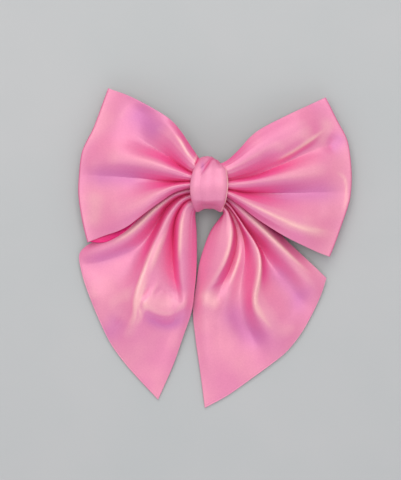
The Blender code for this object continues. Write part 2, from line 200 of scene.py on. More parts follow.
# A panel is an ordered set of lines that run from the binding to the outer edge, from its lower
# edge to its upper edge, with crests and valleys by turns between the two. Each line holds
# (x, y, height over the panel's rise) points in mm. Banks say how steep each valley's lower and
# upper bank are, as (near the binding, far out).
loopLeft = {
    "hand": -1,  # -1 on the left of the knot, 1 on its right
    "rise": loopFace,
    "back": loopBack,
    "wall": 0.6,
    "lines": [
        [(-0.3, -4, 0), (-6, -2.2, -0.6), (-11, -1.4, -0.8), (-19.5, -3.9, -0.4), (-25.9, -8, 0.2),
         (-32.3, -12.5, 0.8), (-38.7, -17.3, 1), (-45, -22.1, 1), (-51.4, -25.3, 0.8),
         (-59, -27.8, 0.4), (-68, -31.3, 0)],
        [(-0.3, -2, 0.8), (-6, -0.6, 1.6), (-11, 0.2, 2.2), (-19.5, -0.9, 3), (-25.9, -3.4, 3.4),
         (-32.3, -6.6, 3.6), (-38.7, -10.8, 3.4), (-46, -15, 2.8), (-56, -19, 1.6),
         (-70, -21.6, 0)],
        [(-0.3, 1, -2.4), (-6, 1.9, -3.2), (-10.7, 2.2, -3.8), (-19.5, 2.1, -4.4),
         (-27.2, 2.8, -4.2), (-38.7, 4.2, -3), (-51, 5.2, -1.6), (-61, 5.8, -0.9),
         (-67, 6.2, -0.4), (-73, 6.4, 0)],
        [(-0.3, 3.6, 0.8), (-6, 4.2, 1.6), (-10.6, 4.7, 2.2), (-19.5, 7.9, 3.2), (-29, 11, 3.6),
         (-38.7, 13.4, 3.4), (-51.4, 14.9, 2.8), (-61, 15.2, 2.4), (-67.3, 15.2, 2.2),
         (-71.9, 15.4, 1.4)],
        [(-0.3, 6.2, -2.4), (-6, 6.2, -3.2), (-10, 6.9, -3.8), (-14.4, 9.4, -4.2),
         (-19.5, 13, -4.4), (-25.9, 18, -4.4), (-34.9, 23.1, -3.8), (-42.5, 27.6, -2.2),
         (-53, 30, 0), (-66.4, 29.4, 0)],
        [(-0.3, 9, 0.8), (-4.6, 10.6, 1.4), (-7.6, 11.9, 2.2), (-11.8, 16.6, 3), (-16, 23, 3.2),
         (-20.6, 29, 2.4), (-27, 34.4, 0.8), (-36, 38.4, -0.4), (-44, 41, -0.2), (-50, 43, 1),
         (-60.2, 44, 0.6)],
        [(-0.3, 10.4, 0), (-4, 12.6, -0.6), (-6.6, 15.4, -1), (-11.3, 22.5, -1.4),
         (-16.4, 30.1, -1), (-22.1, 36.5, 0), (-29.7, 41.6, 1.2), (-44.4, 49.6, 1.4),
         (-56.5, 54.4, 0)],
    ],
    "banks": [((1, 2), (0.42, 1.3)), ((0.9, 2), (0.42, 1.8))],
    "backLow": [(-0.3, -4), (-6, -2.2), (-11, -1.4), (-19.5, -3.4), (-25.9, -7.5), (-38.7, -17.5),
                (-46, -24.4), (-53, -29), (-60, -31.6), (-68, -31.3)],
    "side": [(-68, -31.3), (-69.9, -24), (-71.8, -14.4), (-73, -4.9), (-72.8, 4.7), (-71.2, 18),
             (-68, 25.7), (-64.2, 33.4), (-56.5, 54.4)],
    # soft folds across the lines: (line, height, width on its right, width on its left, fade)
    "strokes": [
        ([(-47, 45), (-38, 38), (-27, 30)], -0.7, 9, 8, 0.45),
        ([(-66, 22), (-66.5, 12), (-66.8, 2)], 0.35, 3, 3, 0.5),
        ([(-15, -1.2), (-26, -6), (-37, -13.4), (-48, -20)], 0.35, 1.2, 2.4, 0.5),
    ],
    # painted lilac shade, as (line, half width, strength); below 0 painted cream highlights
    "shadeAndHighlightPatches": [
        ([(-44, 45), (-39, 39), (-33, 33), (-26, 26)], 8, 1),
        ([(-70, 5), (-50, 5), (-34, 3.6)], 6, 0.9),
        ([(-66, -24), (-64, -12), (-65, -2)], 5, -0.4),
    ],
    # painted highlights: sharp bright lines where a fold stands highest, each on a low real ridge
    "glints": [
        [(-20, 28.4), (-16.6, 24.4), (-12.6, 17.4), (-8.4, 12.4)],
    ],
}
loopRight = {
    "hand": 1,
    "rise": loopFace,
    "back": loopBack,
    "wall": 0.6,
    "lines": [
        [(0.3, -4, 0), (5, -4.8, -0.6), (9.4, -6.2, -0.8), (16.8, -11.3, -0.6), (23.1, -16.3, 0),
         (29.5, -20.8, 0.4), (42.2, -28.5, 0.8), (58.2, -36.1, 0.6), (66.4, -39.3, 0)],
        [(0.3, -2.6, 0.8), (6, -3.4, 1.6), (9.7, -4.4, 2.2), (16.8, -7.8, 3), (28, -13.2, 3.6),
         (39, -18.6, 3.8), (51.8, -23.8, 3.4), (59, -25.6, 2.8), (66, -26.6, 1.6), (71, -27, 0.3)],
        [(0.3, -0.8, -2.4), (6, -1.8, -3.2), (10, -2.3, -3.8), (19.9, -3.7, -4.4),
         (32.7, -4, -4.4), (42, -3.8, -3.6), (51.8, -3.6, -2.6), (63, -3.4, -1.6),
         (71, -3.3, -0.8), (78.2, -3.4, -0.2)],
        [(0.3, 1.2, 0.8), (6, 0.4, 1.6), (10.4, 0.2, 2.2), (19.9, 1.2, 3.2), (30, 2.8, 3.6),
         (38.9, 4.4, 3.4), (51.8, 6.8, 3), (62, 9.2, 2.6), (70, 10.8, 2.2), (78.2, 11, 1.2)],
        [(0.3, 3.4, -2.4), (6, 2.6, -3.2), (10.4, 2.4, -3.8), (19.9, 4.1, -4.2), (26.3, 5.9, -4.4),
         (34, 9.2, -4.4), (42.2, 12.8, -3.6), (51.8, 17.4, -2.6), (62, 21.2, -1.8), (70, 23, -1),
         (76.7, 23.4, -0.2)],
        [(0.3, 8.6, 0.8), (5, 8, 1.6), (9.5, 8.8, 2.4), (15.5, 12, 3), (25, 18, 3.2),
         (35, 24.4, 3.2), (46, 30.6, 3), (58, 35.6, 2.2), (69.8, 38, 0.4)],
        [(0.3, 10.4, 0), (4, 11.4, -0.6), (7.5, 12.4, -1), (11.7, 15.4, -1.2), (16.8, 20.6, -1),
         (22.5, 27, -0.5), (29.5, 32.1, 0), (45.4, 40.3, 0.4), (64.2, 49.3, 0)],
    ],
    "banks": [((1, 2), (0.42, 1.3)), ((0.42, 1.5), (0.9, 1.8))],
    "backLow": [(0.3, -4), (5, -4.8), (9.4, -6.2), (16.8, -10.8), (23.1, -15.6), (29.5, -20.4),
                (42.2, -28), (58.2, -35.9), (66.4, -39.3)],
    "side": [(66.4, -39.3), (69, -32.9), (72.2, -24), (76.6, -11.3), (78.2, -3.6), (78.5, 7.9),
             (77.3, 20.6), (75.4, 27.6), (70.9, 35.9), (67.1, 43.6), (64.2, 49.3)],
    "strokes": [
        ([(30, 11.4), (38.9, 15.6), (51.6, 23.6), (58.3, 27.6), (64.4, 31.4)], 1.9, 2.4, 8, 0.35),
        ([(64, 18), (68, 24), (69, 31)], -1.2, 4, 4, 0.4),
        ([(12, -6.6), (24, -14), (37, -21.4), (50, -28)], 0.4, 1.2, 2.4, 0.5),
        ([(60, -14), (70, -16), (76, -18)], 0.5, 5, 5, 0.4),
    ],
    # painted lilac shade; below 0 painted cream highlights
    "shadeAndHighlightPatches": [
        ([(66, 20), (71, 24), (74, 30)], 5, 0.8),
        ([(32, -4), (52, -4), (74, -3.6)], 5.4, 0.8),
        ([(38, -19), (54, -24.4), (66, -27)], 2.6, -0.5),
        ([(60, 22), (66, 31), (62, 38)], 4, -0.4),
    ],
    "glints": [
        [(14, -6.8), (26, -12.4), (39, -18.4), (52, -23.6), (67, -25.4)],
        [(36, 13.4), (46, 19), (56, 25.6), (65, 32.4)],
        [(70, 8), (75.4, 4), (76.4, -6), (74.6, -15)],
    ],
}
tailLeft = {
    "hand": -1,
    "rise": tailFace,
    "wall": 0.6,
    "lines": [
        [(-0.3, -10.6, -1), (-5, -12.2, -1.4), (-8.2, -14.8, -2.2), (-7.6, -24, -2.6),
         (-7.4, -36, -2.4), (-7.7, -48, -1.6), (-8.6, -58, -0.6), (-10.3, -70.2, 0),
         (-15.3, -85, 0), (-20.7, -100.4, -0.3), (-29.1, -119.6, -0.4)],
        [(-0.3, -9.4, 0.2), (-6, -9.6, 0.4), (-12, -11, 1.4), (-14.2, -14.3, 2.2),
         (-15.4, -19.2, 2.8), (-16, -25.1, 3.4), (-16.2, -32, 3.6), (-16.2, -41, 3.6),
         (-15.6, -51, 3.2), (-14.7, -60, 2.6), (-15.2, -71, 1.6), (-19.6, -86, 0.8),
         (-25.6, -102, 0), (-32.2, -116.4, -0.4)],
        [(-0.3, -8, -1), (-6, -7.8, -1.8), (-11, -7.9, -2.6), (-13.6, -9.3, -3.4),
         (-15.9, -11.6, -4), (-18.4, -16.2, -4.6), (-19.9, -22.1, -5), (-20.5, -29, -4.8),
         (-20.7, -40, -4), (-20, -49, -2.4), (-18.8, -56, -0.2), (-18, -63, 1.2),
         (-20.6, -78, 0.6), (-27.4, -95, 0), (-35.2, -112.4, -0.4)],
        [(-0.3, -7, 0.2), (-6, -6.4, 0.6), (-11.2, -6, 1.4), (-17, -9.2, 2.2), (-22.4, -16, 3),
         (-27.4, -26, 3.8), (-32.2, -36, 4.4), (-36, -46, 4.8), (-39.4, -54.7, 5),
         (-41.6, -62.6, 5), (-42.4, -70.5, 4.6), (-45.4, -78.6, 3), (-50, -84.6, 1),
         (-55, -89, -0.8)],
        [(-0.3, -5.2, -1), (-6, -4.6, -1.8), (-10.8, -4.5, -2.6), (-16, -6, -3.4),
         (-20.2, -8.4, -3.8), (-24.6, -12.6, -4.4), (-27.8, -18.2, -4.8), (-31.6, -24.2, -4.6),
         (-36, -30.2, -3.6), (-42, -35.4, -2.2), (-50.3, -39.3, -1.2), (-60.1, -42.4, -0.7),
         (-72, -45, -0.5)],
        [(-0.3, -2.8, 0.2), (-6, -2.4, 0.4), (-11.2, -2.8, 1), (-19.7, -5.4, 1.8),
         (-25.9, -9.4, 2.2), (-32.3, -15, 2.4), (-38.7, -21.4, 2.6), (-46, -27.6, 2.6),
         (-56, -33.4, 2), (-66, -37.2, 1), (-73.2, -39.4, -0.8)],
        [(-0.3, 0.6, 0), (-6, 2.4, -0.4), (-11, 3, -1), (-20, 2, -2), (-30, -2.4, -3),
         (-42, -11.5, -3.4), (-52, -20.4, -3), (-61, -28, -2.2), (-69.5, -33.4, -1.2)],
    ],
    "banks": [((0.45, 1.4), (0.75, 2)), ((0.5, 1.8), (0.85, 2))],
    "side": [(-29.1, -119.6), (-39.5, -108.5), (-48.3, -98.4), (-56.3, -87), (-63, -72.8),
             (-67.8, -60.7), (-71.4, -50), (-73.3, -40.5), (-72.4, -36.4), (-69.5, -33.4)],
    "strokes": [
        ([(-38, -59), (-35.4, -65), (-29.6, -69.4), (-22.4, -70.6), (-16, -66), (-13, -58)], 1.7,
          3.2, 9, 0.3),
        ([(-27.6, -50.7), (-32.2, -58.7), (-36.6, -64.5), (-38, -70), (-41, -77)], 0.7, 1, 2.6,
          0.35),
        ([(-34, -40), (-38.6, -52), (-41.4, -62), (-42.6, -71), (-46, -79)], 0.7, 1, 2.2, 0.35),
        ([(-44.6, -60), (-48, -70), (-52.4, -78), (-58, -84)], -0.8, 5.4, 6, 0.45),
        ([(-38.6, -36), (-44, -48), (-49, -58)], -0.7, 5, 6, 0.4),
        ([(-22, -20.6), (-27.6, -32), (-31.8, -42), (-36, -53)], 0.45, 0.9, 2.2, 0.35),
        ([(-63, -46), (-66, -56), (-62, -68)], 0.6, 6, 5, 0.4),
    ],
    # painted lilac shade; below 0 painted cream highlights
    "shadeAndHighlightPatches": [
        ([(-38, -69.6), (-31, -75), (-21, -77), (-13, -70.6)], 3.6, 1),
        ([(-50, -72), (-55, -80), (-60, -84)], 6, 0.7),
        ([(-40, -33), (-54, -38.6), (-68, -42)], 3.4, 0.7),
        ([(-34, -62), (-27, -65.6), (-19, -65)], 5, -0.35),
    ],
    "glints": [
        [(-30, -31), (-35, -43), (-38.6, -54), (-41, -64), (-41.8, -72), (-46, -79.6)],
        [(-33, -47), (-37, -57), (-39.4, -66), (-38.6, -72.6), (-42, -78)],
        [(-14, -14), (-15.6, -20), (-16.6, -30), (-17, -42)],
        [(-20, -6), (-30, -12.6), (-42, -24), (-54, -32)],
    ],
}
tailRight = {
    "hand": 1,
    "rise": tailFace,
    "wall": 0.6,
    "lines": [
        [(0.3, -10.6, -1), (4, -12, -1.4), (7.4, -15, -2), (5.5, -17.9, -2.4), (1, -23.9, -2.8),
         (-2.5, -31.8, -3), (-6, -43.3, -3), (-7.8, -55.7, -3), (-9.6, -68.9, -2.4),
         (-8.3, -84, -1), (-5.2, -106.1, -0.6), (-2.9, -124.2, -0.3)],
        [(0.3, -9.9, 0.2), (5, -11, 0.6), (8.8, -13.8, 1.4), (10.8, -19, 2.4), (11.6, -26, 3.4),
         (10.6, -34.6, 4), (7.4, -44, 3.8), (2.6, -53, 2.6), (-1.6, -62, 1.1), (-1, -84, 0.8),
         (1.5, -103, 0.4), (5, -119.8, -0.4)],
        [(0.3, -9.2, -1), (5, -10, -1.8), (9.4, -12.8, -2.6), (12, -17.4, -3.6),
         (14.2, -23.4, -4.6), (14.8, -30, -5), (13.6, -38, -4.4), (10.4, -47.7, -2.8),
         (6.4, -56, -1), (4, -66, 0.4), (5, -84, 0.2), (8.4, -103, 0), (12.6, -115.4, -0.5)],
        [(0.3, -8.8, -0.8), (5, -9.4, -1.6), (9.5, -12.2, -2.4), (13.2, -17.2, -3.4),
         (15.6, -23.6, -4.3), (17, -31, -4), (16.2, -39, -2.8), (13.4, -48, -1.4),
         (9.8, -57.4, -0.2), (8.4, -68, 0.4), (10.8, -85, 0), (14, -101, 0), (18.4, -111.4, -0.6)],
        [(0.3, -8.4, -1), (5, -8.8, -1.8), (9.6, -11.6, -2.6), (13.8, -16.8, -3.4),
         (16.8, -23.4, -4.2), (19.2, -31, -4), (19.6, -39.5, -3.2), (18, -51, -2.6),
         (16.6, -61, -1.8), (18, -72, -1.5), (22, -83, -1.2), (26, -95, -0.8), (28, -104.6, -0.7)],
        [(0.3, -7.4, 0.2), (5, -7.8, 0.6), (9.8, -10.6, 1.2), (14.6, -16.6, 1.8),
         (19.8, -24.4, 2.6), (25.4, -32.8, 3.8), (28, -41, 4.8), (27.2, -51.3, 5.2),
         (25.4, -61.9, 5), (27, -69.6, 4.6), (32.6, -77, 3.4), (39.5, -84.4, 1.4),
         (45.4, -90, -0.8)],
        [(0.3, -6.4, -1), (5, -6.4, -1.8), (10, -9.6, -2.6), (13.6, -14.4, -3.6),
         (18.7, -21.8, -4.4), (23.4, -28, -4.8), (28.4, -34.4, -4.8), (31.8, -40.4, -4),
         (37.2, -47.8, -3), (44.2, -55.8, -2.4), (50.6, -64.2, -1.8), (57, -72.4, -1.2)],
        [(0.3, -3, 0.2), (5, -4, 0.4), (10.4, -7.6, 1), (18.7, -15, 2.2), (27.6, -23.4, 3),
         (36.4, -32, 3.6), (45.2, -40.8, 3.6), (53, -48.8, 2.4), (58.6, -54.8, 0.8),
         (62.6, -59.4, -1)],
        [(0.3, 0.6, 0), (6, 1.6, -0.6), (11.4, -0.6, -1.4), (19.4, -5.6, -2.4), (27.8, -13, -3),
         (34.4, -21, -2.6), (41.4, -28.8, -1.4), (49.9, -36.9, -0.4), (58.6, -45, 0),
         (65.2, -51.3, -0.6)],
    ],
    "banks": [((0.45, 1.6), (0.9, 2)), ((1.2, 2), (0.7, 2)), ((0.55, 2), (0.6, 2))],
    "side": [(-2.9, -124.2), (9.9, -117.2), (23.1, -107.9), (36.4, -98.1), (43.5, -92),
             (50.6, -83.1), (56.8, -72.5), (62.1, -61), (65.2, -51.3)],
    "strokes": [
        ([(8, -60), (13, -72), (22, -82), (33, -88)], -0.9, 6, 4, 0.3),
        ([(-6, -62), (0, -66), (7, -68)], 0.5, 5, 4, 0.3),
        ([(25.2, -35), (27.4, -42), (26.8, -51), (24.6, -61), (26, -69), (31.6, -76)], 0.7, 2.4,
          0.9, 0.35),
        ([(52, -62), (48, -76), (40, -86)], 0.6, 5, 5, 0.4),
        ([(9.9, -22), (11.4, -30), (9.4, -39), (5, -48), (-1, -56)], 0.5, 2, 0.9, 0.35),
        ([(14, -11.4), (22, -18.4), (30, -25.8), (40, -35.4), (50, -45.4)], 0.4, 1.2, 2.4, 0.4),
    ],
    # painted lilac shade; below 0 painted cream highlights
    "shadeAndHighlightPatches": [
        ([(8, -64), (13, -74), (22, -83), (36, -87)], 6.5, 0.8),
        ([(33, -44), (43, -54.6), (53, -67)], 4.4, 0.7),
        ([(46, -72), (52, -62), (58, -56)], 5, 0.5),
        ([(-4, -58), (0, -63), (6, -66)], 4, -0.6),
    ],
    "glints": [
        [(24, -31), (27, -38), (27.8, -46), (26.8, -55), (25.6, -64), (29.6, -73), (36, -81)],
        [(16, -12.6), (27, -22), (38, -32.4), (48, -42), (57, -49.6)],
        [(10.4, -18), (11.6, -26), (10.2, -35), (6.4, -45.6)],
        [(17, -32), (16.2, -40), (13.2, -49), (10.6, -56)],
    ],
}


drape = {
    "columns": 27,  # grid columns between two lines
    "tailRows": 165,  # rows of grid along a tail
    "crowd": 1.25,  # above 1 the rows lie closer together near the binding
    "opens": (0.16, 0.5),  # share of the length where folds start to open, and take to open
    "edgeBank": (0.9, 1.3),  # steepness of a bank beside an edge, near the binding and far out
    "glint": (0.22, 1.1),  # height and half width of the ridge under a bright line
    "gather": (0.16, 17),  # height of the fine gathers, and how far out they reach
    "swell": (0.11, 12, 20),  # height of the unevenness, where it starts and how it grows
    "floor": 0.6,  # lowest height of the cloth's middle, met softly
    "underLoop": (2.4, 1.6),  # depth and width of the shade close under a loop's lower edge
}


def weave(panel, lines, rows):
    # Cloth between ordered lines. Across each gap the height goes from hollow to crest as
    # sin(u * 90 degrees) ** p: a p under 1 is a steep bank, as of a fold lying over its
    # neighbour, and a p of 2 a soft wave. p grows from the binding outwards, from the first to
    # the second number of its pair, as the folds open.
    s = np.linspace(0, 1, rows) ** drape["crowd"]
    step = drape["columns"]
    w = np.linspace(0, 1, step + 1)[None]
    opening = np.clip((s - drape["opens"][0]) / drape["opens"][1], 0, 1)[:, None]
    runs = [smoothPath(line, rows, drape["crowd"]) for line in lines]
    plans, heights = [], []
    for k, (a, b) in enumerate(zip(runs, runs[1:])):
        up = k % 2 == 1  # from a crest to what is above it
        low = k + up  # the valley or edge beside this gap
        if 0 < low < len(runs) - 1:
            near, far = panel["banks"][low // 2 - 1][1 - up]
        else:
            near, far = drape["edgeBank"]
        p = near + (far - near) * opening
        # columns lie closer together in the hollows
        u = np.broadcast_to(1 - (1 - w) ** 1.6 if up else w**1.6, (rows, step + 1))
        lift = np.sin((1 - u if up else u) * math.pi / 2) ** p
        lift = 1 - lift if up else lift
        last = None if k == len(runs) - 2 else -1  # the next gap starts on the same column
        plan = a[:, None, :2] * (1 - u[..., None]) + b[:, None, :2] * u[..., None]
        height = a[:, None, 2] * (1 - lift) + b[:, None, 2] * lift
        plans.append(plan[:, :last])
        heights.append(height[:, :last])
    plan = np.concatenate(plans, axis=1)
    height = np.concatenate(heights, axis=1)
    # the last row is moved onto the outline of the outer side, and the rows before it follow
    side = smoothPath(panel["side"], 600)[:, :2]
    run = lengthAlong(plan[-1])
    marks = np.arange(0, plan.shape[1], step)
    near = np.linalg.norm(side[None] - plan[-1][marks][:, None], axis=2).argmin(axis=1)
    near[0], near[-1] = 0, len(side) - 1
    place = np.interp(run, run[marks], near)
    goal = np.stack([np.interp(place, np.arange(len(side)), c) for c in side.T], axis=1)
    plan += (goal - plan[-1])[None] * (s**2.5)[:, None, None]
    return plan, height, s


def soften(values, times):
    # Each pass takes half of the value and a quarter of each neighbour, across and along
    for _ in range(times):
        for axis in (0, 1):
            v = np.moveaxis(values, axis, 0)
            v[1:-1] = v[1:-1] / 2 + (v[:-2] + v[2:]) / 4
    return values


def besideLine(points, plan, fade, count=24):
    # Distance off the smooth line through the points, and a weight that rises evenly from 0 at
    # either end of the line to 1 within the share fade of its length
    along, off, _ = offLine(smoothPath(points, count), plan)
    return off, np.clip(np.minimum(along, 1 - along) / fade, 0, 1)


def glintRidge(points, plan, width):
    # exp(-(distance / width) ** 1.5), a ridge with a sharper top than a stroke's
    off, ends = besideLine(points, plan, 0.3)
    return np.exp(-np.abs(off / width) ** 1.5) * ends


def addStrokes(panel, plan, height):
    # A stroke is height * exp(-(distance / width) ** 2), with its own width on each side
    for points, rise, right, left, fade in panel["strokes"]:
        off, ends = besideLine(points, plan, fade)
        width = np.where(off > 0, left, right)
        height = height + rise * np.exp(-(off / width) ** 2) * (ends * ends * (3 - 2 * ends))
    lift, width = drape["glint"]
    for points in panel["glints"]:
        height = height + lift * glintRidge(points, plan, width)
    return height


def addGathers(plan, height, reach, phase):
    # Two sines across the cloth make fine gathers that die out from the binding, and products
    # of slow sines a slight unevenness further out
    t = np.linspace(0, 1, plan.shape[1])[None]
    ripple = np.sin(t * 150 + phase) + 0.6 * np.sin(t * 233 + 1.7 * phase)
    height = height + drape["gather"][0] * ripple * np.exp(-reach / drape["gather"][1])
    x, y = plan[..., 0], plan[..., 1]
    swell = np.sin(x / 7.1 + y / 11.3 + phase) * np.sin(y / 8.7 - x / 13.9 + 2 * phase)
    swell += 0.6 * np.sin(x / 4.3 - y / 6.1 + phase) * np.sin(y / 5.2 + x / 7.7)
    most, start, grow = drape["swell"]
    return height + most * swell * np.clip((reach - start) / grow, 0, 1)


def makeTail(name, panel):
    # The woven folds on top of the tail's own height, and never below the table
    plan, rise, _ = weave(panel, panel["lines"], drape["tailRows"])
    reach = np.linalg.norm(plan, axis=2)
    rise = addStrokes(panel, plan, soften(rise, 1))
    rise = addGathers(plan, rise, reach, panel["side"][0][0])
    z = readCurve(panel["rise"], reach) + rise
    z = drape["floor"] + np.logaddexp(0, (z - drape["floor"]) * 1.8) / 1.8
    grid = np.concatenate([plan, z[..., None]], axis=2)
    hollow = np.concatenate([hollows(z), paintedShadeAndHighlightOf(panel, plan)[None]])
    # painted shade: close under a loop's lower edge the cloth counts as a hollow too
    loop = loopLeft if panel["hand"] < 0 else loopRight
    _, off, _ = offLine(smoothPath(loop["lines"][0], 40)[:, :2], plan)
    below = np.clip(-off * panel["hand"], 0, None)
    depth, width = drape["underLoop"]
    hollow[0] += depth * np.exp(-(below / width) ** 2) * np.clip((66 - reach) / 20, 0, 1)
    return sheetOf(name, panel, grid, hollow)


def paintedShadeAndHighlightOf(panel, plan):
    # Painted shade and highlights: each patch adds strength * exp(-(distance / half width) ** 2)
    # round its line, and fades over its ends
    paintedShadeAndHighlight = np.zeros(plan.shape[:2])
    for points, width, strength in panel["shadeAndHighlightPatches"]:
        off, ends = besideLine(points, plan, 0.25, 16)
        paintedShadeAndHighlight += strength * np.exp(-(off / width) ** 2) * (0.25 + 0.75 * ends)
    # each bright line lowers the value: a painted cream highlight
    for points in panel["glints"]:
        paintedShadeAndHighlight -= 0.9 * glintRidge(points, plan, 0.75)
    return np.clip(paintedShadeAndHighlight, -1, 1)


def hollows(z):
    # How far each place lies below the mean of a wide and of a narrow patch of cloth round it;
    # the material paints shade where it lies low, and a highlight on crests
    return np.stack([soften(soften(z.copy(), 60) - z, 1), soften(soften(z.copy(), 9) - z, 1)])


def sheetOf(name, panel, grid, hollow, inside=None):
    # A panel on the right runs the other way across, so its columns are turned round
    if panel["hand"] > 0:
        grid, hollow = grid[:, ::-1], hollow[:, :, ::-1]
    return closedSheet(name, grid, panel["wall"], *hollow, inside=inside)


loopBody = {
    "rows": 104,  # rows of grid on the face, and on the back
    "turn": 10,  # rows round the pressed side
    "radius": 0.8,  # of the pressed side
    "rounding": (22, 26),  # from how far out, and over how much, the folds get rounder
    "knotLift": (2.6, 13),  # how much higher the face is at the knot, and how far that reaches
    "wrapEdge": 10,  # half width of the wrap, where its ceiling ends
    "pressed": 4.5,  # half width of the folds pressed against that ceiling
    "gap": 1.6,  # least room between the face and the back
    "closing": 0.72,  # share of the length where the two walls start to meet
    "inside": 3.0,  # painted shade: the inside of the loop counts as one deep hollow
}


def makeLoop(name, panel):
    # One wall of cloth: the face, a half turn round the pressed side, and the back
    rows, turn, radius = loopBody["rows"], loopBody["turn"], loopBody["radius"]
    plan, rise, s = weave(panel, panel["lines"], rows)
    cols = plan.shape[1]
    reach = np.linalg.norm(plan, axis=2)
    # crisp folds near the binding, rounder ones further out
    outer = np.clip((reach - loopBody["rounding"][0]) / loopBody["rounding"][1], 0, 1)
    rise = soften(rise, 1) * (1 - outer) + soften(rise.copy(), 30) * outer
    folds = addGathers(plan, addStrokes(panel, plan, rise), reach, panel["side"][0][0])
    lift, lifted = loopBody["knotLift"]
    near = np.exp(-(reach / lifted) ** 2)
    front = readCurve(panel["rise"], reach) + folds * (1 - 0.3 * near) + lift * near
    # inside the wrap the folds are pressed together and fill it up to its ceiling, which
    # lifts away past the wrap's waisted edge
    width = np.abs(plan[..., 0])
    past = np.clip((width - loopBody["wrapEdge"] + 0.018 * plan[..., 1] ** 2) / 3, 0, 1)
    ceiling = readCurve(knot["ceiling"], plan[..., 1]) + 14 * past**2
    pressed = np.exp(-(width / loopBody["pressed"]) ** 4)
    front = np.minimum(front, ceiling) * (1 - pressed) + ceiling * pressed
    # the back follows the same lines, four times flatter, from its own lower edge
    low = [(*point, 0) for point in panel["backLow"]]
    backPlan, backRise, _ = weave(panel, [low] + panel["lines"][1:], rows)
    back = readCurve(panel["back"], np.linalg.norm(backPlan, axis=2)) - backRise * 0.25
    back = np.minimum(back, front - loopBody["gap"])
    # both walls run to the height of the pressed side
    at = reach[-1:]
    side = (readCurve(panel["rise"], at) + readCurve(panel["back"], at)) / 2 + rise[-1:] * 0.5
    closing = loopBody["closing"]
    ease = (np.clip((s - closing) / (1 - closing), 0, 1) ** 2)[:, None]
    front = front * (1 - ease) + (side + radius) * ease
    back = back * (1 - ease) + (side - radius) * ease
    out = plan[-1] - plan[-4]
    out /= np.linalg.norm(out, axis=1, keepdims=True)
    inset = radius * np.clip(s * 3 - 2, 0, 1)[:, None, None] ** 2 * out[None]
    face = np.concatenate([plan - inset, front[..., None]], axis=2)
    rear = np.concatenate([backPlan - inset, back[..., None]], axis=2)
    a = np.linspace(0, math.pi, turn + 2)[1:-1, None, None]
    bend = np.concatenate([plan[-1] - out * radius + out * radius * np.sin(a) * 0.9,
                           side[..., None] + radius * np.cos(a) * np.ones((1, cols, 1))], axis=2)
    grid = np.concatenate([face, bend, rear[::-1]])
    outside = np.concatenate([hollows(front), paintedShadeAndHighlightOf(panel, plan)[None]])
    hollow = np.concatenate([outside, np.zeros((3, turn + rows, cols))], axis=1)
    return sheetOf(name, panel, grid, hollow, loopBody["inside"])


def addCreases(panel, plan, height):
    # Each crease cuts depth * exp(-distance / width) into the height, and one bank leans over
    # it by overhang * x * exp(1 - x) with x = distance / width, so that its shadow is sharp
    plan, height = plan.copy(), height.copy()
    shift = np.zeros_like(plan)
    fold = np.zeros_like(height)
    for points, width, depth, over in panel["creases"]:
        along, off, left = offLine(smoothPath(points, 26), plan)
        w = width[0] + (width[1] - width[0]) * along
        fade = 1 - along**2
        d = depth[1] + (depth[0] - depth[1]) * fade
        x = np.abs(off) / w
        height -= d * np.exp(-x)
        # fold: a mask of painted shade along each crease
        fold = np.maximum(fold, np.clip(d / 1.8, 0, 1) * np.exp(-x * 0.45))
        lean = over[1] + (over[0] - over[1]) * fade
        bank = np.where(off * np.sign(lean + 1e-9) > 0, 1.0, 0.0)
        shift -= left * (np.abs(lean) * np.sign(off) * bank * x * np.exp(1 - x))[..., None]
    return plan + shift, height, fold


knot = {
    # middle line of the wrap as (y, z, x of its left edge, x of its right edge)
    "path": [(0.5, 28.6, -10.8, 9.7), (6.5, 27.9, -9.6, 9.2), (11.2, 25.8, -7.8, 7.7),
             (14.6, 22.6, -6.2, 6.4), (15.3, 18.6, -6, 6.2), (13.4, 13.4, -6.4, 6),
             (9.2, 8.8, -6.8, 6.8), (4, 6.5, -7.3, 7.3), (-4, 6.5, -7.3, 7.3),
             (-9.8, 8, -6.8, 6.8), (-13.8, 11.4, -6.6, 5.8), (-14.9, 16, -7.6, 6.3),
             (-13.3, 20.8, -8.5, 7.1), (-9.8, 25, -9.8, 8.3), (-5.2, 27.6, -10.7, 9.2)],
    # height of the wrap's inner face against y, which the pressed folds reach
    "ceiling": [(-15, 14.2), (-13.3, 19), (-9.8, 23.2), (-5.2, 25.8), (0.5, 26.8), (6.5, 26.1),
                (11.2, 24), (14.6, 20.8), (16, 17)],
    "wall": 1.3,
    "shoulders": (1.0, 4.4),  # how far the top falls back at its left and its right edge
    "arch": 2.9,  # how far the bottom edge rises in the middle
    "crown": 1.1,  # how far the middle of the wrap stands over its edges
    "pleat": 0.14,  # height of the two soft pleats along it
    "sheen": (-4.2, 9.8, 1.2, 2.6),  # painted lilac sheen on the front: x, y and half sizes
    "rim": 0.88,  # beyond this share of the half width, a painted highlight on the right edge
    # creases in the front: (line, widths, depths, overhangs), each at its start and its end
    "creases": [
        ([(2.9, 16), (2.3, 15.1), (0.5, 13.9), (-0.7, 12.3), (-1.9, 10.3), (-3.5, 7.7),
          (-5.1, 5.3)], [0.4, 0.8], [2.1, 0.2], [-0.7, -0.1]),
        ([(-0.2, 15.4), (-1.8, 13.2), (-4, 10.6), (-6, 8)], [0.4, 0.8], [0.8, 0.0], [0.2, 0.0]),
        ([(2.6, 15.6), (2.9, 14.6), (3.7, 12.8), (4.9, 10.8), (5.7, 8.6)],
         [0.4, 0.9], [1.5, 0.0], [0.4, 0.0]),
        ([(-4.6, 6.5), (-5.5, 1.9), (-5.6, -3.1), (-5, -9), (-4.6, -14)],
         [1.3, 1.6], [0.25, 0.2], [0.0, 0.0]),
        ([(6.6, 10), (8.6, 7.5), (9, 1.9), (8.7, -3.1), (7.8, -8.7), (6.6, -14)],
         [0.28, 0.28], [0.7, 0.6], [0.0, 0.0]),
    ],
}


